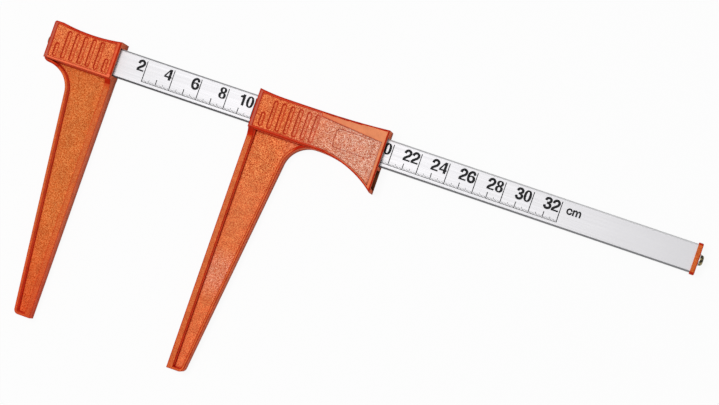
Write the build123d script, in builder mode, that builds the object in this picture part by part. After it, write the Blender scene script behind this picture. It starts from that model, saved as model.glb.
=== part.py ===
from build123d import *
import os

# Tree caliper. Millimetres. The origin is on the fixed jaw's measuring face, where its leg leaves the head,
# at mid depth: x runs along the beam from the scale's zero, y up from the legs' roots to the beam, and
# z out of the printed face. The caliper lies on the backs of its two heads.

os.makedirs("parts", exist_ok=True)

# Beam: a flat drawn tube
beam_width = 20.0
beam_depth = 9.0
beam_wall = 1.4
beam_corner = 1.3
beam_reach = 414.5          # from the scale's zero to the tube's right-hand end
beam_y = 12.5               # centreline of the beam above the legs' roots

# Printed scale, marked every millimetre
mark_pitch = 1.0
scale_first = 20.0
scale_last = 320.0
ink = 0.05
line_width = 0.6
fine_width = 0.3
base_drop = 7.2             # base line below the beam's centreline
long_mark = 14.7            # every second centimetre
centimetre_mark = 4.6
half_mark = 2.5
fine_mark = 1.5

# Legs of the jaws
jaw_opening = 101.3         # reading at which the caliper is laid down
leg_length = 173.4
leg_root_width = 31.4
leg_tip_width = 11.8
leg_front = 3.5             # fronts of the flanges, in front of mid depth
leg_tip_back = 8.0          # their backs behind it, at the tip; at the root they meet the head's back
gusset = 5.0                # length over which the leg deepens to meet the head
gusset_radius = 6.0
root_lap = 2.0              # how far a leg runs up into the floor of its head
heel_radius = 18.6
toe_radius = 3.5
measuring_rim = 4.3
outer_rim = 2.0
web = 2.6
web_middle = -3.5
rim_round = 0.7

# Heads
head_depth = 24.0
head_wall = 3.0
head_round = 1.4
head_corner = 1.5
panel_rim = 1.6             # smooth edge round the grained panel on each face of a head
panel_depth = 0.5
mouth_rim = 2.8             # the same at a head's ends
fixed_head_length = 49.5
end_wall = 5.0              # closed left end of the fixed head, behind the beam's end
fixed_head_top = 26.5
fixed_head_waist = 24.6
fixed_head_land = 6.5       # flat stretch at the left end of the fixed head's top
fixed_heel = 2.0            # flange that runs on under the fixed head
heel_corner = 3.0
saddle_length = 7.0         # the two ribs inside the fixed head that grip the beam
sliding_head_length = 93.5
sliding_left_top = 27.2
sliding_waist = 25.8
sliding_waist_start = 20.0
sliding_waist_end = 46.0
sliding_right_top = 27.9
sliding_heel = 0.4
flare_start = 49.0
flare_drop = 16.6
flare_wall = 2.5
floor_web = 2.2             # floor of the sleeve, over the hollow of the flare
panel_fall = 18.4           # top of the panel at the right-hand end, where a smooth wedge lies above it
field_length = 27.0         # plain oblong field in the panel
field_height = 13.2
field_bottom = 4.9
field_corner = 2.5
field_depth = 0.3
field_middle = 72.7         # from the sliding measuring face

# Grip slots sunk in both faces of each head, a row of long ones with a short one at its end
grip_count = 7
grip_pitch = 6.05
grip_width = 2.7
grip_depth = 0.8
grip_bottom = 2.5
grip_top = 22.2
short_grip_top = 12.2
fixed_grip_inset = 6.3      # from the measuring face to the middle of the nearest slot
sliding_grip_inset = 7.75

# Clearances
slide_gap = 0.3             # beam's edges to the sleeve
pad_gap = 0.15              # beam's faces to the slide pads
pin_gap = 0.05              # pins and screws in their holes, on the radius
seat_gap = 0.1              # a loose piece in its pocket

# Slide pads, springs and adjusting screws
pad_length = 16.0
pad_inset = 9.0             # from each mouth of the sleeve to its pads
fence = 1.6                 # walls that hold a pad endways
fence_height = 1.9
back_pad_thickness = 2.4
spring_length = 14.0
spring_width = 6.0
spring_thickness = 0.4
adjuster_radius = 2.5
adjuster_reach = 0.5        # how far an adjusting screw stands into the sleeve
adjuster_sink = 0.3         # its slotted end below the panel
adjuster_boss = 4.4
slot_width = 1.0
slot_depth = 0.9

# Fasteners
screw_radius = 2.0
screw_head_radius = 3.7
screw_head_height = 2.4
screw_length = 14.0
washer_radius = 4.2
washer_thickness = 0.6
pin_radius = 1.5
right_pin_inset = 9.3       # from the measuring face, between two grip slots
left_pin_inset = 11.0       # from the beam's left end, between two grip slots
pin_spread = 5.5            # pins above and below the beam's centreline
pin_sink = 0.4              # their ends below the back panel
pin_bite = 2.0              # and how far they run on past the beam
plug_length = 16.0

# End cap
cap_thickness = 3.3
cap_overhang = 1.0
cap_corner = 2.2
cap_round = 0.7

beam_face = beam_depth / 2
beam_hold = fixed_head_length - end_wall
beam_top = beam_y + beam_width / 2
beam_bottom = beam_y - beam_width / 2
head_face = head_depth / 2
panel_face = head_face - panel_depth
grip_floor = panel_face - grip_depth
cavity_half = head_face - head_wall
sleeve_height = beam_width + 2 * slide_gap
sleeve_floor = beam_bottom - slide_gap
slider = Plane(origin=(jaw_opening, 0, 0))


def rim_edges(body):
    """Edges of a leg where an upright wall meets the flanges' front or back."""
    upright = body.faces().filter_by(lambda face: abs(face.normal_at().Z) < 0.01)
    broad = body.faces().filter_by(lambda face: abs(face.normal_at().Z) > 0.3)
    rims = broad.filter_by(lambda face: abs(face.center().Z - web_middle) > web)
    shared = [edge for edge in rims.edges() if edge in upright.edges()]
    return [edge for edge in shared if edge.center().Y < root_lap - rim_round / 10]


def leg(side, reach, heel):
    """A jaw's leg: two flanges joined by a web, tapering in width and depth. Side is +1 or -1, the way
    it lies from its measuring face at x = 0. Its outer flange runs on to reach, heel below the root."""
    lean = (leg_root_width - leg_tip_width) / leg_length
    toe = (side * leg_tip_width, -leg_length)
    heel_point = (side * (leg_root_width - lean * heel), -heel)
    far = side * (reach + 2 * heel_radius)
    below_head = [(0, -leg_length), toe, heel_point, (far, -heel)]
    with BuildPart() as body:
        with BuildSketch() as outline:
            with BuildLine():
                Polyline((0, root_lap), *below_head, (far, root_lap), close=True)
            make_face()
            fillet(outline.vertices().sort_by_distance(heel_point)[0], heel_radius)
            fillet(outline.vertices().sort_by_distance(toe)[0], toe_radius)
            Rectangle(2 * reach, 4 * leg_length, mode=Mode.INTERSECT)
        extrude(amount=head_face, both=True)
        with BuildSketch(Plane.YZ) as depth:
            with BuildLine():
                Polyline(
                    (root_lap, head_face - head_round),
                    (-gusset, leg_front),
                    (-leg_length, leg_front),
                    (-leg_length, -leg_tip_back),
                    (root_lap, head_round - head_face),
                    close=True,
                )
            make_face()
            fillet(depth.vertices().sort_by_distance((-gusset, leg_front))[0], gusset_radius)
        extrude(amount=2 * reach, both=True, mode=Mode.INTERSECT)
        for way in (1, -1):
            with BuildSketch(Plane.XY.offset(web_middle + way * web / 2)) as pocket:
                with BuildLine():
                    Polyline((0, leg_root_width), *below_head, (far, leg_root_width), close=True)
                make_face()
                fillet(pocket.vertices().sort_by_distance(heel_point)[0], heel_radius)
                fillet(pocket.vertices().sort_by_distance(toe)[0], toe_radius)
                offset(amount=-outer_rim)
                with Locations((side * (measuring_rim + reach), 0)):
                    Rectangle(2 * reach, 4 * leg_length, mode=Mode.INTERSECT)
            extrude(amount=way * head_depth, mode=Mode.SUBTRACT)
        fillet(rim_edges(body), rim_round)
    return body.part


def grips(side, first):
    """Grip slots to cut in the front of a head. Side is +1 or -1, the way the row runs from the
    measuring face, and first is the middle of its first slot."""
    with BuildPart() as row:
        with BuildSketch(Plane.XY.offset(grip_floor)):
            for number in range(grip_count):
                short = number == 0 or (side < 0 and number == grip_count - 1)
                top = short_grip_top if short else grip_top
                with Locations((side * (first + number * grip_pitch), (grip_bottom + top) / 2)):
                    SlotOverall(top - grip_bottom, grip_width, rotation=90)
        extrude(amount=head_depth)
    return row.part


# Beam: anodised aluminium tube with rounded edges, drilled for the jaw's two pins
pin_places = [(-right_pin_inset, beam_y - pin_spread), (left_pin_inset - beam_hold, beam_y + pin_spread)]
bore_width = beam_width - 2 * beam_wall
bore_depth = beam_depth - 2 * beam_wall
with BuildPart() as beam:
    with BuildSketch(Plane.YZ.offset(-beam_hold)):
        with Locations((beam_y, 0)):
            RectangleRounded(beam_width, beam_depth, beam_corner)
            Rectangle(bore_width, bore_depth, mode=Mode.SUBTRACT)
    extrude(amount=beam_hold + beam_reach)
    with BuildSketch():
        with Locations(*pin_places):
            Circle(pin_radius + pin_gap)
    extrude(amount=beam_depth, both=True, mode=Mode.SUBTRACT)
beam.part.label = "beam"
export_step(beam.part, "parts/beam.step")

# Scale: graduations printed on the beam's front, joined along their base line
marks_long = []
marks_centimetre = []
marks_half = []
marks_fine = []
for step in range(round((scale_last - scale_first) / mark_pitch) + 1):
    place = (scale_first + step * mark_pitch, beam_y - base_drop)
    if step % 20 == 0:
        marks_long.append(place)
    elif step % 10 == 0:
        marks_centimetre.append(place)
    elif step % 5 == 0:
        marks_half.append(place)
    else:
        marks_fine.append(place)
upwards = (Align.CENTER, Align.MIN)
with BuildPart() as scale_marks:
    with BuildSketch(Plane.XY.offset(beam_face)):
        with Locations(((scale_first + scale_last) / 2, beam_y - base_drop)):
            Rectangle(scale_last - scale_first + line_width, fine_width, align=upwards)
        with Locations(*marks_long):
            Rectangle(line_width, long_mark, align=upwards)
        with Locations(*marks_centimetre):
            Rectangle(line_width, centimetre_mark, align=upwards)
        with Locations(*marks_half):
            Rectangle(fine_width, half_mark, align=upwards)
        with Locations(*marks_fine):
            Rectangle(fine_width, fine_mark, align=upwards)
    extrude(amount=ink)
scale_marks.part.label = "scale_marks"
export_step(scale_marks.part, "parts/scale_marks.step")

# Fixed jaw: one moulding, a hollow head over the beam's end and a leg
fixed_leg = leg(-1, fixed_head_length, fixed_heel)
fixed_grips = grips(-1, fixed_grip_inset)
land_end = fixed_head_land - fixed_head_length
with BuildPart() as fixed_jaw:
    with BuildSketch() as head:
        with BuildLine():
            Polyline((land_end, fixed_head_top), (-fixed_head_length, fixed_head_top), (-fixed_head_length, 0), (0, 0))
            Line((0, 0), (0, fixed_head_top))
            ThreePointArc((0, fixed_head_top), (land_end / 2, fixed_head_waist), (land_end, fixed_head_top))
        make_face()
        fillet(head.vertices().sort_by_distance((-fixed_head_length, fixed_head_top))[0], head_corner)
    extrude(amount=head_face, both=True)
    fillet(fixed_jaw.faces().filter_by(Axis.Z).edges(), head_round)
    with BuildSketch(Plane.XY.offset(panel_face)):
        add(head.sketch)
        offset(amount=-panel_rim)
        with Locations((-fixed_head_length / 2, 0)):
            Rectangle(fixed_head_length - 2 * mouth_rim, 4 * fixed_head_top, mode=Mode.INTERSECT)
    extrude(amount=panel_depth, mode=Mode.SUBTRACT)
    add(fixed_grips, mode=Mode.SUBTRACT)
    mirror(about=Plane.XY, mode=Mode.INTERSECT)
    add(fixed_leg)
    # rounded corner under the head's left end
    with BuildSketch():
        with Locations((-fixed_head_length, -fixed_heel)):
            Rectangle(heel_corner, heel_corner, align=(Align.MIN, Align.MIN))
        with Locations((heel_corner - fixed_head_length, heel_corner - fixed_heel)):
            Circle(heel_corner, mode=Mode.SUBTRACT)
    extrude(amount=head_face, both=True, mode=Mode.SUBTRACT)
    # hollow for the beam, open at the measuring face
    with BuildSketch(Plane.YZ.offset(-beam_hold)):
        with Locations((beam_y, 0)):
            Rectangle(beam_width, 2 * cavity_half)
    extrude(amount=beam_hold, mode=Mode.SUBTRACT)
    # saddles that fill the hollow round the beam, where the pins cross it
    for place in pin_places:
        with BuildSketch(Plane.YZ.offset(place[0])):
            with Locations((beam_y, 0)):
                Rectangle(beam_width, 2 * cavity_half)
                Rectangle(beam_width, beam_depth, mode=Mode.SUBTRACT)
        extrude(amount=saddle_length / 2, both=True)
    with BuildSketch(Plane.XY.offset(beam_face + pin_bite)):
        with Locations(*pin_places):
            Circle(pin_radius + pin_gap)
    extrude(amount=-2 * head_depth, mode=Mode.SUBTRACT)
    with BuildSketch(Plane.YZ.offset(-fixed_head_length)):
        with Locations((beam_y, 0)):
            Circle(screw_radius + pin_gap)
    extrude(amount=end_wall, mode=Mode.SUBTRACT)
fixed_jaw.part.label = "fixed_jaw"
export_step(fixed_jaw.part, "parts/fixed_jaw.step")

# Jaw pins: driven in from the back, through the beam, off its centreline to either side
with BuildPart() as jaw_pins:
    with BuildSketch(Plane.XY.offset(pin_sink - panel_face)):
        with Locations(*pin_places):
            Circle(pin_radius)
    extrude(amount=panel_face - pin_sink + beam_face + pin_bite)
jaw_pins.part.label = "jaw_pins"
export_step(jaw_pins.part, "parts/jaw_pins.step")


def plug(start):
    """A plug that fills the tube's bore, drilled along the beam for a screw."""
    with BuildPart() as body:
        with BuildSketch(Plane.YZ.offset(start)):
            with Locations((beam_y, 0)):
                Rectangle(bore_width, bore_depth)
                Circle(screw_radius + pin_gap, mode=Mode.SUBTRACT)
        extrude(amount=plug_length)
        with BuildSketch():
            with Locations(*pin_places):
                Circle(pin_radius + pin_gap)
        extrude(amount=beam_depth, both=True, mode=Mode.SUBTRACT)
    return body.part


def washer(seat):
    """A plain washer standing on the plane seat."""
    with BuildPart() as body:
        with BuildSketch(seat):
            Circle(washer_radius)
            Circle(screw_radius + pin_gap, mode=Mode.SUBTRACT)
        extrude(amount=washer_thickness)
    return body.part


def screw(seat):
    """A domed screw with a slotted head, its washer between it and the plane seat."""
    with BuildPart() as body:
        with BuildSketch(seat.offset(washer_thickness)):
            Circle(screw_head_radius)
        extrude(amount=screw_head_height)
        crown = body.edges().filter_by(GeomType.CIRCLE).sort_by(Axis(seat.origin, seat.z_dir))[-1]
        fillet(crown, screw_head_height - washer_thickness)
        with BuildSketch(seat.offset(washer_thickness + screw_head_height)):
            Rectangle(slot_width, 2 * screw_head_radius)
        extrude(amount=-slot_depth, mode=Mode.SUBTRACT)
        with BuildSketch(seat.offset(washer_thickness)):
            Circle(screw_radius)
        extrude(amount=-screw_length)
    return body.part


# Screws at the beam's two ends, each with a washer and a plug inside the tube
jaw_seat = Plane(origin=(-fixed_head_length, beam_y, 0), z_dir=(-1, 0, 0))
cap_seat = Plane(origin=(beam_reach + cap_thickness, beam_y, 0), z_dir=(1, 0, 0))
end_pieces = {
    "jaw_plug": plug(-beam_hold),
    "jaw_screw_washer": washer(jaw_seat),
    "jaw_screw": screw(jaw_seat),
    "cap_plug": plug(beam_reach - plug_length),
    "end_cap_washer": washer(cap_seat),
    "end_cap_screw": screw(cap_seat),
}
for name, piece in end_pieces.items():
    piece.label = name
    export_step(piece, f"parts/{name}.step")

# End cap: plate that closes the tube and stops the sliding jaw
with BuildPart() as end_cap:
    with BuildSketch(Plane.YZ.offset(beam_reach)):
        with Locations((beam_y, 0)):
            RectangleRounded(beam_width + 2 * cap_overhang, beam_depth + 2 * cap_overhang, cap_corner)
            Circle(screw_radius + pin_gap, mode=Mode.SUBTRACT)
    extrude(amount=cap_thickness)
    fillet(end_cap.faces().sort_by(Axis.X)[-1].outer_wire().edges(), cap_round)
end_cap.part.label = "end_cap"
export_step(end_cap.part, "parts/end_cap.step")

# Sliding jaw: one moulding, a sleeve on the beam, a hollow flare for the hand and a leg
sliding_leg = Pos(jaw_opening, 0, 0) * leg(1, flare_start, sliding_heel)
sliding_grips = Pos(jaw_opening, 0, 0) * grips(1, sliding_grip_inset)
pad_middles = (pad_inset + pad_length / 2, sliding_head_length - pad_inset - pad_length / 2)
with BuildPart() as sliding_jaw:
    with BuildSketch(slider) as sleeve:
        with BuildLine():
            Line((0, sliding_left_top), (0, -sliding_heel))
            Line((0, -sliding_heel), (flare_start, -sliding_heel))
            flare = TangentArc((flare_start, -sliding_heel), (sliding_head_length, -flare_drop), tangent=(1, 0))
            Line(flare @ 1, (sliding_head_length, sliding_right_top))
            TangentArc((sliding_waist_end, sliding_waist), (sliding_head_length, sliding_right_top), tangent=(1, 0))
            Line((sliding_waist_end, sliding_waist), (sliding_waist_start, sliding_waist))
            TangentArc((sliding_waist_start, sliding_waist), (0, sliding_left_top), tangent=(-1, 0))
        make_face()
    extrude(amount=head_face, both=True)
    fillet(sliding_jaw.faces().filter_by(Axis.Z).edges(), head_round)
    with BuildSketch(Plane.XY.offset(panel_face)):
        add(sleeve.sketch)
        offset(amount=-panel_rim)
        with BuildLine():
            below = -sliding_head_length
            Polyline(
                (jaw_opening + mouth_rim, sliding_head_length),
                (jaw_opening + mouth_rim, below),
                (jaw_opening + sliding_head_length - mouth_rim, below),
                (jaw_opening + sliding_head_length - mouth_rim, panel_fall),
                (jaw_opening + sliding_waist_end, grip_top),
                (jaw_opening + sliding_waist_end, sliding_head_length),
                close=True,
            )
        make_face(mode=Mode.INTERSECT)
    extrude(amount=panel_depth, mode=Mode.SUBTRACT)
    add(sliding_grips, mode=Mode.SUBTRACT)
    mirror(about=Plane.XY, mode=Mode.INTERSECT)
    # plain oblong field, on the front only
    with BuildSketch(slider.offset(panel_face - field_depth)):
        with Locations((field_middle, field_bottom + field_height / 2)):
            RectangleRounded(field_length, field_height, field_corner)
    extrude(amount=head_depth, mode=Mode.SUBTRACT)
    add(sliding_leg)
    # bosses for the adjusting screws, on the back
    with BuildSketch(slider.offset(-head_face)):
        with Locations(*[(middle, beam_y) for middle in pad_middles]):
            Circle(adjuster_boss)
    extrude(amount=panel_depth + grip_depth + seat_gap)
    # the sleeve's passage for the beam
    with BuildSketch(Plane.YZ.offset(jaw_opening)):
        with Locations((beam_y, 0)):
            Rectangle(sleeve_height, 2 * cavity_half)
    extrude(amount=sliding_head_length, mode=Mode.SUBTRACT)
    # hollow of the flare, open at the right-hand end
    with BuildSketch(slider) as hollow:
        with BuildLine():
            roof = TangentArc(
                (flare_start, flare_wall - sliding_heel), (sliding_head_length, flare_wall - flare_drop), tangent=(1, 0)
            )
            Polyline(roof @ 0, (flare_start, beam_y), (sliding_head_length, beam_y), roof @ 1)
        make_face()
        with Locations((sliding_head_length / 2, sleeve_floor - floor_web)):
            Rectangle(sliding_head_length, 2 * flare_drop, align=(Align.CENTER, Align.MAX), mode=Mode.INTERSECT)
    extrude(amount=cavity_half, both=True, mode=Mode.SUBTRACT)
    # fences that hold the pads endways, in front of and behind the beam
    for middle in pad_middles:
        for way in (-1, 1):
            with BuildSketch(Plane.YZ.offset(jaw_opening + middle + way * (pad_length + fence + 2 * seat_gap) / 2)):
                with Locations((beam_y, cavity_half - fence_height / 2), (beam_y, fence_height / 2 - cavity_half)):
                    Rectangle(sleeve_height, fence_height)
            extrude(amount=fence / 2, both=True)
    with BuildSketch(slider.offset(-head_face)):
        with Locations(*[(middle, beam_y) for middle in pad_middles]):
            Circle(adjuster_radius + pin_gap)
    extrude(amount=head_wall, mode=Mode.SUBTRACT)
sliding_jaw.part.label = "sliding_jaw"
export_step(sliding_jaw.part, "parts/sliding_jaw.step")

# Slide pads: two in front of the beam and two behind it, held in the sleeve's fences
back_pad_top = -beam_face - pad_gap
back_pad_bottom = back_pad_top - back_pad_thickness
spring_top = back_pad_bottom - seat_gap
adjuster_top = adjuster_reach - cavity_half
spring_bow = spring_top - adjuster_top - spring_thickness - seat_gap
for where, middle in zip(("left", "right"), pad_middles):
    with BuildPart() as front_pad:
        with BuildSketch(slider.offset(beam_face + pad_gap)):
            with Locations((middle, beam_y)):
                Rectangle(pad_length, sleeve_height - 2 * seat_gap)
        extrude(amount=cavity_half - beam_face - pad_gap)
    front_pad.part.label = f"front_pad_{where}"
    export_step(front_pad.part, f"parts/front_pad_{where}.step")

    with BuildPart() as back_pad:
        with BuildSketch(slider.offset(back_pad_bottom)):
            with Locations((middle, beam_y)):
                Rectangle(pad_length, sleeve_height - 2 * seat_gap)
        extrude(amount=back_pad_thickness)
    back_pad.part.label = f"back_pad_{where}"
    export_step(back_pad.part, f"parts/back_pad_{where}.step")

    # leaf spring, bowed between the back pad and the adjusting screw
    half = spring_length / 2
    x_middle = jaw_opening + middle
    with BuildPart() as pad_spring:
        with BuildSketch(Plane.XZ.offset(-beam_y)):
            with BuildLine():
                upper = ThreePointArc(
                    (x_middle - half, spring_top), (x_middle, spring_top - spring_bow), (x_middle + half, spring_top)
                )
                lower = ThreePointArc(
                    (x_middle - half, spring_top - spring_thickness),
                    (x_middle, spring_top - spring_bow - spring_thickness),
                    (x_middle + half, spring_top - spring_thickness),
                )
                Line(upper @ 0, lower @ 0)
                Line(upper @ 1, lower @ 1)
            make_face()
        extrude(amount=spring_width / 2, both=True)
    pad_spring.part.label = f"pad_spring_{where}"
    export_step(pad_spring.part, f"parts/pad_spring_{where}.step")

# Adjusting screws: slotted grub screws in the back of the sleeve, one behind each spring
with BuildPart() as adjusting_screws:
    with BuildSketch(slider.offset(adjuster_top)):
        with Locations(*[(middle, beam_y) for middle in pad_middles]):
            Circle(adjuster_radius)
    extrude(amount=-(head_wall + adjuster_reach - adjuster_sink))
    with BuildSketch(slider.offset(adjuster_sink - head_face)):
        with Locations(*[(middle, beam_y) for middle in pad_middles]):
            Rectangle(slot_width, 2 * adjuster_radius)
    extrude(amount=slot_depth, mode=Mode.SUBTRACT)
adjusting_screws.part.label = "adjusting_screws"
export_step(adjusting_screws.part, "parts/adjusting_screws.step")
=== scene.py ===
import math

import bmesh
import bpy
import numpy as np
from mathutils import Matrix, Vector


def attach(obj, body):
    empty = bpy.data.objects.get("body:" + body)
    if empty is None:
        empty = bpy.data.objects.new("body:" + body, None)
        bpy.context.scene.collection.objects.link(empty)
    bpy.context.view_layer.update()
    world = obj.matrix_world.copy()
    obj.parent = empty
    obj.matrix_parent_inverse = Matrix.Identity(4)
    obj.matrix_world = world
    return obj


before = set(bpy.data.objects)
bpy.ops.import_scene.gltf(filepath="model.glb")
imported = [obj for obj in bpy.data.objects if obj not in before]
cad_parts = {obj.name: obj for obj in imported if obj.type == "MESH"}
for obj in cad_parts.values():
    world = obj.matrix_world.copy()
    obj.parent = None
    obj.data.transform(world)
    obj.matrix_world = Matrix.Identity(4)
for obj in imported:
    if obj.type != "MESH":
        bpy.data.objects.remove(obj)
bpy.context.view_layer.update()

# Beam. A flat drawn tube of aluminium, clear anodised, with faint drawing lines along it. The broad
# faces are pale and even. The narrow sides and rounded corners keep the duller grey of the drawn
# metal, with painted shade that makes them darker towards the zero end and darkest on the lower
# side, and a painted highlight that makes the upper side lighter.
mm = 0.001
beam_face = 4.5 * mm
face_grey = (0.56, 0.553, 0.57)
# painted shade on the lower side and painted highlight on the upper side, both darker towards zero
shaded_lower_side_greys = (0.05, 0.05, 0.055), (0.18, 0.18, 0.19)
lit_upper_side_greys = (0.27, 0.27, 0.28), (0.60, 0.60, 0.61)
side_shading = 60.0 * mm, 340.0 * mm
drawing_lines = (12.0, 2600.0, 2600.0)
line_tones = 0.955, 1.0
stain_tones = 0.985, 1.0
anodised_roughness = 0.40, 0.50


def fill(tree, socket, value):
    """Links a socket to another node's output, or sets it to a value. Colours have no alpha here."""
    if isinstance(value, bpy.types.NodeSocket):
        tree.links.new(value, socket)
    elif socket.type == "RGBA":
        socket.default_value = (*value, 1.0)
    else:
        socket.default_value = value


def add_node(tree, kind, inputs, **settings):
    """A new shader node with its settings and inputs."""
    node = tree.nodes.new("ShaderNode" + kind)
    for key, value in settings.items():
        setattr(node, key, value)
    for key, value in inputs.items():
        fill(tree, node.inputs[key], value)
    return node


class Finish:
    """A piece's material while its layers are laid. Most methods add one node and return what it
    gives."""

    def __init__(self, name):
        self.material = bpy.data.materials.new(name)
        self.material.use_nodes = True
        self.tree = self.material.node_tree
        self.shader = self.tree.nodes["Principled BSDF"]

    def add(self, kind, inputs, **settings):
        """A new node of this material."""
        return add_node(self.tree, kind, inputs, **settings)

    def spot(self, kind="Object"):
        """A point's place on its piece, or with "Normal" the way the surface faces there."""
        return self.add("TexCoord", {}).outputs[kind]

    def axes(self, vector):
        """The X, Y and Z of a place or a direction."""
        return self.add("SeparateXYZ", {0: vector}).outputs

    def noise(self, spot, cells, detail, roughness=0.5):
        """Cloudy noise with so many cells to the metre."""
        inputs = {"Vector": spot, "Scale": cells, "Detail": detail, "Roughness": roughness}
        return self.add("TexNoise", inputs).outputs["Fac"]

    def work(self, operation, *numbers):
        """One sum or test on one to three numbers."""
        return self.add("Math", dict(enumerate(numbers)), operation=operation).outputs[0]

    def fade(self, value, start, end, low=0.0, high=1.0, **settings):
        """Low while value is up to start, high from end on, and an even ramp between them."""
        inputs = {"Value": value, "From Min": start, "From Max": end, "To Min": low, "To Max": high}
        return self.add("MapRange", inputs, **settings).outputs[0]

    def blend(self, share, first, second, data_type="RGBA", **settings):
        """The first colour where share is 0, the second where it is 1, and a mixture between."""
        inputs = {"Factor": share, "A": first, "B": second}
        return self.add("Mix", inputs, data_type=data_type, **settings).outputs["Result"]

    def times(self, colour, other, share=1.0):
        """One colour multiplied by another, or by a number, as far as share says."""
        return self.blend(share, colour, other, blend_type="MULTIPLY")

    def relief(self, height, strength, distance):
        """Shallow relief that follows a pattern."""
        inputs = {"Height": height, "Strength": strength, "Distance": distance}
        return self.add("Bump", inputs).outputs[0]

    def put(self, name, value):
        """Sets one input of the shader."""
        fill(self.tree, self.shader.inputs[name], value)

    def dress(self, *names):
        """Gives this material to CAD nodes."""
        for name in names:
            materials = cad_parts[name].data.materials
            materials.clear()
            materials.append(self.material)


anodised = Finish("anodised_aluminium")
spot = anodised.spot()
place = anodised.axes(spot)
facing = anodised.axes(anodised.spot("Normal"))
flatness = anodised.work("ABSOLUTE", facing["Z"])
on_face = anodised.fade(flatness, 0.93, 0.995, interpolation_type="SMOOTHSTEP")
lines = anodised.add("Mapping", {"Vector": spot, "Scale": drawing_lines}).outputs[0]
drawn = anodised.noise(lines, 1.0, 3.0, 0.6)
cloud = anodised.noise(spot, 60.0, 2.0)
tone = anodised.fade(drawn, 0.3, 0.7, *line_tones)
stain = anodised.fade(cloud, 0.3, 0.7, *stain_tones)
shade = anodised.work("MULTIPLY", tone, stain)
# painted light: the upper side is painted lighter and the lower side darker, both darker towards the
# zero end
upper = anodised.fade(facing["Y"], -0.1, 0.1)
along = anodised.fade(place["X"], *side_shading)
lower_side = anodised.blend(along, *shaded_lower_side_greys)
upper_side = anodised.blend(along, *lit_upper_side_greys)
sides = anodised.blend(upper, lower_side, upper_side)
metal = anodised.blend(on_face, sides, face_grey)
anodised.put("Base Color", anodised.times(metal, shade))
anodised.put("Roughness", anodised.fade(drawn, 0.3, 0.7, *anodised_roughness))
anodised.put("Normal", anodised.relief(drawn, 0.05, 0.1 * mm))
anodised.put("Metallic", 0.15)
anodised.dress("beam")

# Scale. Graduations and numerals are screen-printed in black on the beam's front, a numeral to the
# left of every second centimetre's line and the unit after the last. The ink is thin and matt.
# Places are in millimetres from zero and across the beam, and pens are shares of a numeral's size.
ink_height = 0.05 * mm
ink_blacks = (0.003, 0.003, 0.004), (0.020, 0.020, 0.022)
first_numeral, last_numeral, numeral_step = 2, 32, 2
numeral_size = (8.3, 7.8)
numeral_width = 0.64
numeral_base = 12.05
numeral_gap = 0.85
numeral_pitch = 5.7
pen = 0.215
unit_size = (6.0, 6.0)
unit_base = 12.9
unit_places = {"c": 324.2, "m": 328.5}
unit_pen = 0.20

ink = Finish("scale_ink")
grains = ink.noise(ink.spot(), 2500.0, 2.0)
ink.put("Base Color", ink.blend(grains, *ink_blacks))
ink.put("Roughness", 0.8)
ink.put("Specular IOR Level", 0.2)
ink.dress("scale_marks")


def stroke(points, widths, box=(-9, -9, 9, 9)):
    """A pen stroke as its two edges. The centreline is a cubic curve between each two points, whose
    slope at a point is half the step from the point before it to the one after. Each edge lies half
    the width to one side of it, along the curve's normal, kept inside box."""
    p = np.asarray(points, float)
    w = np.broadcast_to(np.asarray(widths, float), len(p))
    p = np.column_stack([p, w])
    p = np.vstack([2 * p[0] - p[1], p, 2 * p[-1] - p[-2]])
    a, b, c, d = p[:-3, None], p[1:-2, None], p[2:-1, None], p[3:, None]
    t = np.linspace(0, 1, 6, endpoint=False)[None, :, None]
    bend = (2 * a - 5 * b + 4 * c - d) * t**2 + (3 * b - a - 3 * c + d) * t**3
    curve = 0.5 * (2 * b + (c - a) * t + bend)
    curve = np.vstack([curve.reshape(-1, 3), p[-2]])
    along = np.gradient(curve[:, :2], axis=0)
    along /= np.linalg.norm(along, axis=1)[:, None]
    across = np.column_stack([-along[:, 1], along[:, 0]]) * curve[:, 2:] / 2
    low, high = box[:2], box[2:]
    return np.clip(curve[:, :2] + across, low, high), np.clip(curve[:, :2] - across, low, high), False


def ring(centre, outer, inner, box=(-9, -9, 9, 9)):
    """A closed stroke between two ovals, each a superellipse of power 2.3 about the same centre. The
    outer one is kept inside box."""
    turn = np.linspace(0, 2 * np.pi, 40, endpoint=False)
    c, s = np.cos(turn), np.sin(turn)
    oval = np.column_stack([np.sign(c) * abs(c) ** (2 / 2.3), np.sign(s) * abs(s) ** (2 / 2.3)])
    return np.clip(centre + oval * outer, box[:2], box[2:]), centre + oval * inner, True


def slab(*corners):
    """A four-sided piece of a numeral, from two corners on one edge to two on the other."""
    return np.array(corners[:2], float), np.array(corners[2:], float), False


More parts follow.
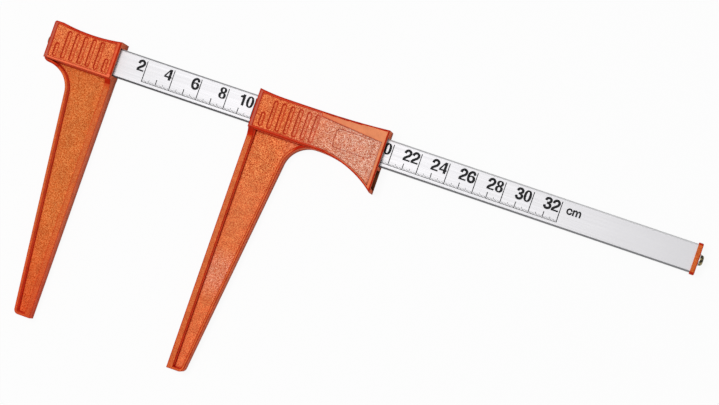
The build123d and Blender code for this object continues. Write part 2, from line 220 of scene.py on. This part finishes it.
numerals = {
    "0": [ring((0.32, 0.5), (0.32, 0.515), (0.32 - pen, 0.38))],
    "1": [
        slab((0.32, 0), (0.32, 1), (0.32 + pen, 0), (0.32 + pen, 1)),
        slab((0.11, 0.68), (0.32, 0.68), (0.11, 0.80), (0.32, 0.93)),
    ],
    "2": [
        stroke([(0.09, 0.64), (0.13, 0.82), (0.31, 0.94), (0.49, 0.86), (0.545, 0.70), (0.45, 0.50),
                (0.26, 0.34), (0.13, 0.20), (0.09, 0.04)], pen, (-1, 0.135, 1, 2)),
        slab((0.005, 0), (0.005, 0.135), (0.62, 0), (0.62, 0.135)),
    ],
    "3": [
        stroke([(0.10, 0.70), (0.16, 0.87), (0.32, 0.94), (0.48, 0.88), (0.53, 0.745), (0.47, 0.62),
                (0.33, 0.57), (0.23, 0.57)], [pen] * 6 + [0.11, 0.11], (-1, 0.515, 1, 2)),
        stroke([(0.23, 0.46), (0.34, 0.46), (0.50, 0.42), (0.565, 0.285), (0.50, 0.13), (0.32, 0.06),
                (0.15, 0.13), (0.08, 0.31)], [0.11, 0.11] + [pen] * 6, (-1, -1, 1, 0.515)),
    ],
    "4": [
        slab((0.375, 0), (0.375, 0.21), (0.375 + pen, 0), (0.375 + pen, 0.21)),
        slab((0.375, 0.355), (0.375, 1), (0.375 + pen, 0.355), (0.375 + pen, 1)),
        slab((0.0, 0.21), (0.0, 0.355), (0.65, 0.21), (0.65, 0.355)),
        slab((0.0, 0.355), (0.375, 1.0), (0.15, 0.355), (0.375, 0.77)),
    ],
    "6": [
        stroke([(0.555, 0.70), (0.48, 0.89), (0.33, 0.94), (0.17, 0.84), (0.09, 0.65), (0.08, 0.42),
                (0.11, 0.22), (0.20, 0.10), (0.33, 0.06), (0.50, 0.13), (0.565, 0.31), (0.50, 0.50),
                (0.34, 0.565), (0.22, 0.53), (0.15, 0.46)], [pen] * 12 + [0.13, 0.10, 0.06]),
    ],
    "8": [
        ring((0.32, 0.275), (0.32, 0.29), (0.32 - pen, 0.165), (-1, -1, 1, 0.53)),
        ring((0.32, 0.76), (0.285, 0.255), (0.285 - pen * 0.95, 0.135), (-1, 0.53, 1, 2)),
    ],
    "c": [
        stroke([(0.60, 0.42), (0.53, 0.58), (0.35, 0.64), (0.16, 0.56), (0.09, 0.36), (0.16, 0.15),
                (0.35, 0.07), (0.53, 0.13), (0.60, 0.30)], 0.95 * unit_pen),
    ],
    "m": [
        slab((0, 0), (0, 0.70), (unit_pen, 0), (unit_pen, 0.70)),
        stroke([(0.13, 0.47), (0.24, 0.60), (0.36, 0.63), (0.46, 0.56), (0.485, 0.42), (0.485, 0)],
               [0.12, 0.18] + [unit_pen] * 4, (0.20, 0, 2, 2)),
        stroke([(0.53, 0.47), (0.64, 0.60), (0.76, 0.63), (0.86, 0.56), (0.885, 0.42), (0.885, 0)],
               [0.12, 0.18] + [unit_pen] * 4, (0.585, 0, 2, 2)),
    ],
}
points, faces = [], []


def print_character(character, corner, size):
    """Prints the strokes of one character on the beam. Each is a flat ribbon between its two edges,
    with a four-sided section as thick as the ink, closed at its ends or joined to itself."""
    for left, right, closed in numerals[character]:
        n = len(left)
        face = np.full(n, beam_face)
        at = corner + np.stack([left, right, right, left], 1) * size
        level = np.stack([face, face, face + ink_height, face + ink_height], 1)
        first = sum(len(p) for p in points)
        points.append(np.concatenate([at * mm, level[..., None]], 2).reshape(-1, 3))
        section = np.arange(n if closed else n - 1)[:, None]
        side = np.arange(4)[None, :]
        here = first + section * 4
        ahead = first + (section + 1) % n * 4
        beside = (side + 1) % 4
        corners = np.stack([here + side, here + beside, ahead + beside, ahead + side], 2)
        faces.extend(corners.reshape(-1, 4).tolist())
        if not closed:
            last = first + n * 4
            faces.append([first, first + 3, first + 2, first + 1])
            faces.append([last - 4, last - 3, last - 2, last - 1])


for centimetres in range(first_numeral, last_numeral + 1, numeral_step):
    for digits_after, digit in enumerate(reversed(str(centimetres))):
        right_edge = centimetres * 10 - numeral_gap - digits_after * numeral_pitch
        left_edge = right_edge - numeral_width * numeral_size[0]
        print_character(digit, (left_edge, numeral_base), numeral_size)
for letter, left_edge in unit_places.items():
    print_character(letter, (left_edge, unit_base), unit_size)

mesh = bpy.data.meshes.new("scale_numerals")
mesh.from_pydata(np.concatenate(points).tolist(), [], faces)
cleaned = bmesh.new()
cleaned.from_mesh(mesh)
bmesh.ops.remove_doubles(cleaned, verts=cleaned.verts, dist=1e-6)
bmesh.ops.recalc_face_normals(cleaned, faces=cleaned.faces)
cleaned.to_mesh(mesh)
cleaned.free()
mesh.materials.append(ink.material)
scale_numerals = bpy.data.objects.new("scale_numerals", mesh)
bpy.context.scene.collection.objects.link(scale_numerals)
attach(scale_numerals, "frame")

# Plugs. Two black nylon plugs fill the ends of the tube and take the end screws, where a thread in
# the thin wall of the tube would not hold.
nylon_blacks = (0.012, 0.012, 0.012), (0.03, 0.03, 0.032)

nylon = Finish("black_nylon")
speck = nylon.noise(nylon.spot(), 900.0, 2.0)
nylon.put("Base Color", nylon.blend(speck, *nylon_blacks))
nylon.put("Normal", nylon.relief(speck, 0.2, 0.1 * mm))
nylon.put("Roughness", 0.5)
nylon.dress("jaw_plug", "cap_plug")

# Pins, washers and adjusting screws, all of zinc-plated steel. Two pins, driven in from the back,
# cross the fixed head, the beam and its plug. A washer lies under each end screw. Two slotted grub
# screws in the back of the sleeve set its springs.
zinc_greys = (0.42, 0.42, 0.43), (0.62, 0.62, 0.60)

zinc = Finish("zinc_steel")
spangle = zinc.noise(zinc.spot(), 700.0, 4.0)
zinc.put("Base Color", zinc.blend(spangle, *zinc_greys))
zinc.put("Roughness", zinc.fade(spangle, 0.0, 1.0, 0.25, 0.5))
zinc.put("Metallic", 1.0)
zinc.dress("jaw_pins", "jaw_screw_washer", "end_cap_washer", "adjusting_screws")

# Fixed jaw. One injection moulding in orange plastic, a head over the end of the beam and a leg. The
# panels of its head and the web of its leg keep the grain of the spark-eroded mould. The rims and
# edges are smoother, and painted shade makes its roundings, crests, grooves and inner corners redder
# and darker. The sliding jaw and the end cap share this plastic.
left_of_opening = 50.0 * mm
fixed_head_end = -46.5 * mm
sliding_head_pale_zone = 125.0 * mm, 170.0 * mm
sliding_head_right = 150.0 * mm, 190.0 * mm
past_sliding_head = 200.0 * mm
head_level = 10.8 * mm, 11.8 * mm
leg_level = 5.0 * mm
ground_shade = -10.5 * mm, 0.0
above_legs = -20.0 * mm, -5.0 * mm
leg_root = -45.0 * mm, -25.0 * mm
leg_tip = -172.0 * mm, -100.0 * mm
patch_middle = -102.0 * mm
patch_fade = 7.0 * mm, 19.0 * mm
# bands: the middle of a range, and how far it goes to either side
panel_band = 11.2 * mm, 0.65 * mm
web_band = -3.5 * mm, 1.6 * mm
foot_band = 1.2 * mm, 1.5 * mm
sliding_end_band = 102.5 * mm, 1.6 * mm

grain_pitch = 0.62 * mm
grain_turn = (0.5, 0.7, 0.3)
grain_depth = 0.2 * mm
mottle_cells = 170.0
blotch_cells = 520.0
groove_width = 1.2 * mm
lip_widths = 0.4 * mm, 0.9 * mm
lip_shares = 0.35, 0.9
hollow_depth = 12.0 * mm
calm_share = 0.35
patch_share = 0.45
groove_shade_clear_of_pale = 0.6
tip_tints = 0.62, 0.93
root_tint = 1.03
cloud_tones = 0.90, 1.06
smooth_roughness = 1.0, 0.42
grain_roughness = 0.65
relief_strengths = 0.04, 0.6

grain_oranges = (0.39, (0.32, 0.026, 0.004)), (0.50, (0.75, 0.150, 0.036)), (0.62, (1.0, 0.42, 0.15))
frost_oranges = (0.41, (0.44, 0.075, 0.035)), (0.50, (0.82, 0.31, 0.195)), (0.60, (1.0, 0.72, 0.58))
fixed_web_brown = (0.52, 0.125, 0.004)
sliding_web_orange = (0.73, 0.175, 0.062)
panel_tint = (1.06, 0.92, 0.95)
# painted shade colours for roundings and low walls; the foot colour is a painted highlight; the
# left-end, crest, groove and hollow colours are painted shade
rounding_shade_reds = (0.48, 0.016, 0.003), (0.58, 0.024, 0.004)
fixed_leg_rounding_shade = (0.68, 0.085, 0.022)
wall_oranges_shaded_low = (0.34, 0.09, 0.06), (1.0, 0.21, 0.095)
leg_rim_orange = (0.60, 0.085, 0.004)
head_rim_orange = (0.76, 0.105, 0.030)
foot_highlight_orange = (0.92, 0.17, 0.070)
left_end_shade_brown = (0.51, 0.100, 0.055)
pale_blotch_tints = (0.90, 0.72, 0.62), (1.0, 1.0, 1.0)
pale_rim_oranges = (0.66, 0.175, 0.062), (0.92, 0.31, 0.135)
crest_shade_red = (0.56, 0.026, 0.004)
groove_shade_red = (0.46, 0.016, 0.002)
hollow_shade_brown = (0.05, 0.012, 0.006)


def graded(finish, value, stops):
    """A colour of a finish that follows value through stops, each a value and its colour."""
    node = finish.add("ValToRGB", {"Fac": value})
    marks = node.color_ramp.elements
    for _ in stops[2:]:
        marks.new(0.5)
    for mark, (position, colour) in zip(marks, stops):
        mark.position = position
        mark.color = (*colour, 1.0)
    return node.outputs["Color"]


def openness(finish, reach, **settings):
    """How open a point is to the space within reach of it: 1 on a plain face and less in a corner, or
    with inside=True less on a crest."""
    settings.update(samples=12, only_local=True)
    return finish.add("AmbientOcclusion", {"Distance": reach}, **settings).outputs["AO"]


orange = Finish("orange_plastic")
spot = orange.spot()
place = orange.axes(spot)
facing = orange.axes(orange.spot("Normal"))
height = orange.work("ABSOLUTE", place["Z"])
flatness = orange.work("ABSOLUTE", facing["Z"])
fixed = orange.work("LESS_THAN", place["X"], left_of_opening)

# where the mould was grained
flat = orange.work("GREATER_THAN", flatness, 0.95)
panel = orange.work("COMPARE", height, *panel_band)
web = orange.work("COMPARE", place["Z"], *web_band)
grained = orange.work("MULTIPLY", orange.work("MAXIMUM", panel, web), flat)
turned = orange.add("Mapping", {"Vector": spot, "Rotation": grain_turn}).outputs[0]
stipple = orange.noise(turned, 1 / grain_pitch, 3.0, 0.7)
mottle = orange.noise(spot, mottle_cells, 3.0)
speckle = graded(orange, stipple, grain_oranges)

# smooth surfaces: level rims, roundings painted in a darker red shade, and upright walls with a
# painted shadow that darkens them towards the ground
# painted highlight: a band along the foot of the fixed head is painted lighter and reaches further
# round its rounding
foot = orange.work("COMPARE", place["Y"], *foot_band)
fixed_foot = orange.work("MULTIPLY", foot, fixed)
level_edge = orange.fade(flatness, 0.90, 0.998)
foot_edge = orange.fade(flatness, 0.60, 0.85)
edge = orange.blend(fixed_foot, level_edge, foot_edge, "FLOAT")
off_upright = orange.fade(flatness, 0.05, 0.35)
# painted shade: surfaces that tilt away from the flat faces are painted a darker, redder colour
rounding = orange.blend(mottle, *rounding_shade_reds)
at_leg = orange.work("LESS_THAN", height, leg_level)
fixed_leg = orange.work("MULTIPLY", at_leg, fixed)
leg_rounding = orange.blend(fixed_leg, rounding, fixed_leg_rounding_shade)
# painted shadow: upright walls are painted darker towards the ground
off_ground = orange.fade(place["Z"], *ground_shade)
wall = orange.blend(off_ground, *wall_oranges_shaded_low)
tilted = orange.blend(off_upright, wall, leg_rounding)
on_head = orange.fade(height, *head_level)
leg_rim = orange.blend(0.35, leg_rim_orange, speckle)
# painted shade: the left ends of both heads are painted browner
fixed_end = orange.work("LESS_THAN", place["X"], fixed_head_end)
sliding_end = orange.work("COMPARE", place["X"], *sliding_end_band)
left_end = orange.work("MAXIMUM", fixed_end, sliding_end)
plain_rim = orange.blend(fixed_foot, head_rim_orange, foot_highlight_orange)
head_rim = orange.blend(left_end, plain_rim, left_end_shade_brown)
level = orange.blend(on_head, leg_rim, head_rim)
smooth = orange.blend(edge, tilted, level)

# grained surfaces, calmer on the webs except at the root of the sliding leg
off_root = orange.fade(place["Y"], *leg_root, calm_share, 0.0)
calmness = orange.blend(fixed, off_root, calm_share, "FLOAT")
calm = orange.work("MULTIPLY", web, calmness)
calm_orange = orange.blend(fixed, sliding_web_orange, fixed_web_brown)
texture = orange.blend(calm, speckle, calm_orange)
redder = orange.times(texture, panel_tint, panel)
moulded = orange.blend(grained, smooth, redder)

# the right half of the sliding head is paler, partly worn by the hand and partly a painted sheen, and
# a patch of the sliding leg's web is paler too; the end cap, which lies past the head, is not
frosting = graded(orange, stipple, frost_oranges)
blotch = orange.noise(turned, blotch_cells, 2.0)
patchy = orange.blend(orange.fade(blotch, 0.40, 0.60), *pale_blotch_tints)
frost = orange.times(frosting, patchy)
pale_rim_colour = orange.blend(stipple, *pale_rim_oranges)
frosted = orange.blend(grained, pale_rim_colour, frost)
# painted sheen and wear: the right half of the sliding head is painted paler
from_middle = orange.fade(place["X"], *sliding_head_pale_zone)
on_sleeve = orange.work("LESS_THAN", place["X"], past_sliding_head)
above = orange.fade(place["Y"], *above_legs)
right_half = orange.work("MULTIPLY", from_middle, on_sleeve)
pale = orange.work("MULTIPLY", right_half, above)
pale_rims = orange.work("MULTIPLY", pale, edge)
off_patch = orange.work("ABSOLUTE", orange.work("SUBTRACT", place["Y"], patch_middle))
patch = orange.fade(off_patch, *patch_fade, patch_share, 0.0)
sliding_web = orange.work("GREATER_THAN", web, fixed)
handled = orange.work("MULTIPLY", sliding_web, patch)
faded = orange.work("MAXIMUM", pale_rims, handled)
with_pale_zones = orange.blend(faded, moulded, frosted)

# both legs grow redder towards their tips, and the whole moulding is faintly clouded
tip_tint = orange.fade(place["X"], left_of_opening, 2 * left_of_opening, *tip_tints)
towards_tip = orange.fade(place["Y"], *leg_tip, tip_tint, root_tint)
tint = orange.add("CombineColor", {0: 1.0, 1: towards_tip, 2: towards_tip}).outputs[0]
clouding = orange.fade(mottle, 0.35, 0.65, *cloud_tones)
plastic = orange.times(orange.times(with_pale_zones, tint), clouding)

# painted shade: the crests of edges are painted a darker red, the grooves darker, less so where the
# surface is paler, and the hollow of the flare dark inside
# painted shade: crests of edges are painted a darker red, less towards the sliding head's right end
crest = openness(orange, orange.fade(on_head, 0.0, 1.0, *lip_widths), inside=True)
lip_depth = orange.fade(on_head, 0.0, 1.0, *lip_shares)
off_foot = orange.work("SUBTRACT", 1.0, fixed_foot)
crest_shade_easing = orange.fade(place["X"], *sliding_head_right, 1.0, 0.4)
lip_share = orange.work("MULTIPLY", orange.work("MULTIPLY", lip_depth, off_foot), crest_shade_easing)
lip = orange.fade(crest, 0.70, 1.0, lip_share, 0.0)
lipped = orange.blend(lip, plastic, crest_shade_red)
# painted shade: grooves and inner corners are painted a darker red, less so where the surface is
# paler
faint = orange.fade(pale, 0.0, 1.0, 0.0, groove_shade_clear_of_pale)
out_of_groove_shade = orange.fade(openness(orange, groove_width), 0.66, 0.945, faint, 1.0)
grooved = orange.blend(out_of_groove_shade, groove_shade_red, lipped)
# painted shade: the inside of the flare's hollow is painted nearly black
open_air = orange.fade(openness(orange, hollow_depth), 0.50, 0.85)
off_flare = orange.work("LESS_THAN", place["X"], sliding_head_right[0])
lit = orange.work("MAXIMUM", open_air, off_flare)
orange.put("Base Color", orange.blend(lit, hollow_shade_brown, grooved))

dullness = orange.fade(flatness, 0.2, 0.8, *smooth_roughness)
orange.put("Roughness", orange.blend(grained, dullness, grain_roughness, "FLOAT"))
grain_strength = orange.fade(grained, 0.0, 1.0, *relief_strengths)
orange.put("Normal", orange.relief(stipple, grain_strength, grain_depth))
orange.put("Specular IOR Level", 0.06)
orange.dress("fixed_jaw")

# End screws. A slotted domed screw and a plain washer hold the fixed jaw to the beam's left plug,
# and the same holds the cap to the right one. The heads are steel, browned by handling.
rust_colours = (0.42, (0.02, 0.017, 0.012)), (0.64, (0.38, 0.30, 0.13))

aged = Finish("aged_steel")
blotch = aged.noise(aged.spot(), 420.0, 5.0, 0.65)
aged.put("Base Color", graded(aged, blotch, rust_colours))
aged.put("Roughness", aged.fade(blotch, 0.0, 1.0, 0.55, 0.25))
aged.put("Normal", aged.relief(blotch, 0.3, 0.1 * mm))
aged.put("Metallic", 0.9)
aged.dress("jaw_screw", "end_cap_screw")

# End cap. A moulded plate of the same orange plastic, held by its screw to the right end of the
# beam. It closes the tube and stops the sliding jaw from running off.
orange.dress("end_cap")

# Sliding jaw. The same orange moulding as the fixed jaw, with a sleeve that runs on the beam and a
# hollow flare under it for the hand, open at the right.
orange.dress("sliding_jaw")

# Slide pads. Four strips of pale low-friction plastic lie in the sleeve, two in front of the beam
# and two behind it, and keep the sleeve off the metal.
pad_whites = (0.70, 0.69, 0.64), (0.80, 0.79, 0.75)

slippery = Finish("slide_pad")
slippery.put("Base Color", slippery.blend(slippery.noise(slippery.spot(), 300.0, 3.0), *pad_whites))
slippery.put("Roughness", 0.45)
slippery.dress("front_pad_left", "front_pad_right", "back_pad_left", "back_pad_right")

# Pad springs. Two bowed strips of blued spring steel press the back pads against the beam, so that
# the jaw stays where it is set.
spring_blues = (0.10, 0.11, 0.14), (0.28, 0.29, 0.33)
rolling_lines = (80.0, 3000.0, 3000.0)

spring = Finish("spring_steel")
rolled = spring.add("Mapping", {"Vector": spring.spot(), "Scale": rolling_lines}).outputs[0]
spring.put("Base Color", spring.blend(spring.noise(rolled, 1.0, 3.0), *spring_blues))
spring.put("Metallic", 1.0)
spring.put("Roughness", 0.3)
spring.dress("pad_spring_left", "pad_spring_right")

# Floor. A plain white sheet, level with the backs of the two heads, on which the caliper lies. What
# the camera sees of it is lifted to white, and it keeps the caliper's shadow.
floor_level = -12.0 * mm
floor_reach = 6.0
paper_grey = (0.75, 0.75, 0.75)
white = (1.0, 1.0, 1.0)
floor_lift = 0.93

turns = (-1, -1), (1, -1), (1, 1), (-1, 1)
corners = [(x * floor_reach, y * floor_reach, floor_level) for x, y in turns]
mesh = bpy.data.meshes.new("floor")
mesh.from_pydata(corners, [], [(0, 1, 2, 3)])
floor = bpy.data.objects.new("floor", mesh)
bpy.context.scene.collection.objects.link(floor)
paper = Finish("floor_paper")
paper.put("Base Color", paper_grey)
paper.put("Roughness", 0.9)
ray = paper.add("LightPath", {}).outputs
mirrored = paper.work("MAXIMUM", ray["Is Glossy Ray"], ray["Is Transmission Ray"])
seen = paper.work("MAXIMUM", ray["Is Camera Ray"], mirrored)
glow = paper.add("Emission", {"Color": white, "Strength": 1.0}).outputs[0]
lift = paper.work("MULTIPLY", seen, floor_lift)
lifted = paper.add("MixShader", {0: lift, 1: paper.shader.outputs[0], 2: glow}).outputs[0]
fill(paper.tree, paper.tree.nodes["Material Output"].inputs["Surface"], lifted)
mesh.materials.append(paper.material)

# Light. A broad soft lamp above and to the upper left, and an even pale surround that is brighter
# overhead than at the sides. The camera and reflections see the surround as white.
lamp_place = Vector((-0.06, 0.03, 1.55))
lamp_target = Vector((0.19, -0.03, 0.0))
lamp_width = 0.45
lamp_power = 16.0
surround_rise = 0.9
surround_strengths = 0.12, 0.40

lamp = bpy.data.lights.new("softbox", "AREA")
lamp.shape = "DISK"
lamp.size = lamp_width
lamp.energy = lamp_power
softbox = bpy.data.objects.new("softbox", lamp)
aim = (lamp_target - lamp_place).to_track_quat("-Z", "Y").to_matrix().to_4x4()
softbox.matrix_world = Matrix.Translation(lamp_place) @ aim
bpy.context.scene.collection.objects.link(softbox)

world = bpy.data.worlds.new("surround")
bpy.context.scene.world = world
world.use_nodes = True
tree = world.node_tree
direction = add_node(tree, "TexCoord", {}).outputs["Generated"]
up = add_node(tree, "SeparateXYZ", {0: direction}).outputs["Z"]
darkest, brightest = surround_strengths
rise = {"Value": up, "From Max": surround_rise, "To Min": darkest, "To Max": brightest}
strength = add_node(tree, "MapRange", rise).outputs[0]
ray = add_node(tree, "LightPath", {}).outputs
for kind in ("Is Camera Ray", "Is Glossy Ray", "Is Transmission Ray"):
    strength = add_node(tree, "Math", {0: strength, 1: ray[kind]}, operation="MAXIMUM").outputs[0]
background = tree.nodes["Background"]
fill(tree, background.inputs["Strength"], strength)
fill(tree, background.inputs["Color"], white)

bpy.context.scene.view_settings.view_transform = "Standard"

# Camera. It stands a metre and a half in front of the printed face, below the beam and to the right
# of its middle, turned so that the beam falls to the right of the picture.
lens_length = 115.1
sensor_width = 36.0
far_limit = 20.0
camera_place = (0.3853, -0.0629, 1.5487)
camera_turn = (3.690, 6.347, 19.175)

camera = bpy.data.cameras.new("camera")
camera.lens = lens_length
camera.sensor_width = sensor_width
camera.clip_end = far_limit
shot = bpy.data.objects.new("camera", camera)
shot.location = camera_place
shot.rotation_euler = [math.radians(angle) for angle in camera_turn]
bpy.context.scene.collection.objects.link(shot)
bpy.context.scene.camera = shot
